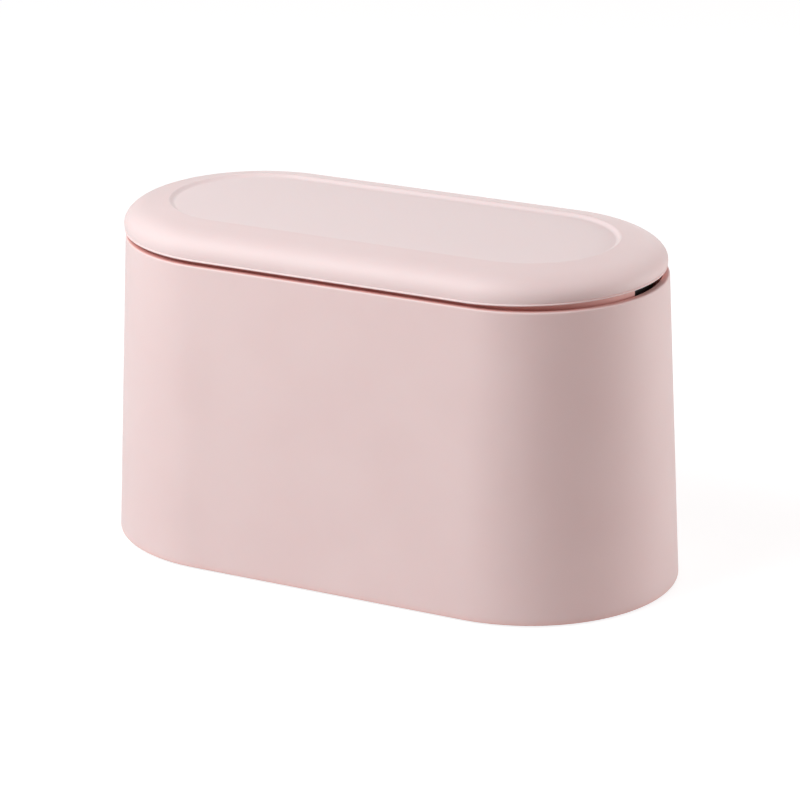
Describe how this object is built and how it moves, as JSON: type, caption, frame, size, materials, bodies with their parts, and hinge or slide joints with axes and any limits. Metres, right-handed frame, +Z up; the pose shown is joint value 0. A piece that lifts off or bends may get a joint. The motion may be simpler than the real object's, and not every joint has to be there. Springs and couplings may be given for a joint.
{
  "type": "countertop trash can",
  "caption": "Stadium-shaped countertop trash can with a press-to-open sprung lid, a push latch and a lift-out inner bucket under a bag ring.",
  "frame": {"origin": "on the table under the middle of the body", "axes": "+X along the length towards the latch end, +Y across the width, +Z up"},
  "size_m": [0.23, 0.115, 0.1326],
  "materials": {
    "pink_polypropylene": "fine satin texture from the mould",
    "black_acetal": "smooth moulded",
    "spring_steel": "drawn wire",
    "zinc_plated_steel": "bright zinc plating",
    "grey_rubber": "matt"
  },
  "bodies": {
    "bin": {"outer_shell": "pink_polypropylene", "base_plate": "pink_polypropylene", "base_screws": "zinc_plated_steel", "rubber_feet": "grey_rubber"},
    "bucket": {"inner_bucket": "pink_polypropylene"},
    "collar": {"collar": "pink_polypropylene", "latch_housing": "black_acetal", "latch_screws": "zinc_plated_steel", "latch_spring": "spring_steel", "latch_cam_wire": "spring_steel", "hinge_spring": "spring_steel"},
    "hinge_pin": {"hinge_pin": "zinc_plated_steel"},
    "lid": {"lid_cap": "pink_polypropylene", "lid_liner": "pink_polypropylene", "liner_screws": "zinc_plated_steel", "lid_striker": "black_acetal"},
    "latch_plunger": {"latch_plunger": "black_acetal", "latch_claw_pins": "zinc_plated_steel"},
    "latch_claw_left": {"latch_claw_left": "black_acetal"},
    "latch_claw_right": {"latch_claw_right": "black_acetal"}
  },
  "joints": [
    {"name": "bucket_lift", "type": "slide", "parent": "bin", "child": "bucket", "axis": [0, 0, 1], "range_m": [0, 0.12]},
    {"name": "collar_lift", "type": "slide", "parent": "bucket", "child": "collar", "axis": [0, 0, 1], "range_m": [0, 0.025]},
    {"name": "lid_press", "type": "hinge", "parent": "collar", "child": "hinge_pin", "pos_m": [-0.107, 0, 0.12105], "axis": [0, -1, 0], "range_deg": [-0.3, 1.16], "stiffness_Nm_per_rad": 20, "springref_deg": 0.3},
    {"name": "lid_hinge", "type": "hinge", "parent": "hinge_pin", "child": "lid", "pos_m": [-0.107, 0, 0.12105], "axis": [0, -1, 0], "range_deg": [0, 80], "deforming": ["hinge_spring"]},
    {"name": "latch_plunger_slide", "type": "slide", "parent": "collar", "child": "latch_plunger", "axis": [0, 0, 1], "range_m": [-0.00105, 0.00405], "deforming": ["latch_spring"]},
    {"name": "latch_claw_left_turn", "type": "hinge", "parent": "latch_plunger", "child": "latch_claw_left", "pos_m": [0.0905, 0.0054, 0.103], "axis": [-1, 0, 0], "range_deg": [-2.1, 8.1]},
    {"name": "latch_claw_right_turn", "type": "hinge", "parent": "latch_plunger", "child": "latch_claw_right", "pos_m": [0.0905, -0.0054, 0.103], "axis": [1, 0, 0], "range_deg": [-2.1, 8.1]}
  ],
  "couplings": [
    {"joint": "latch_plunger_slide", "follows": "lid_press", "m_per_rad": 0.1975},
    {"joint": "latch_claw_left_turn", "follows": "lid_press", "ratio": 6.8966},
    {"joint": "latch_claw_right_turn", "follows": "lid_press", "ratio": 6.8966}
  ]
}
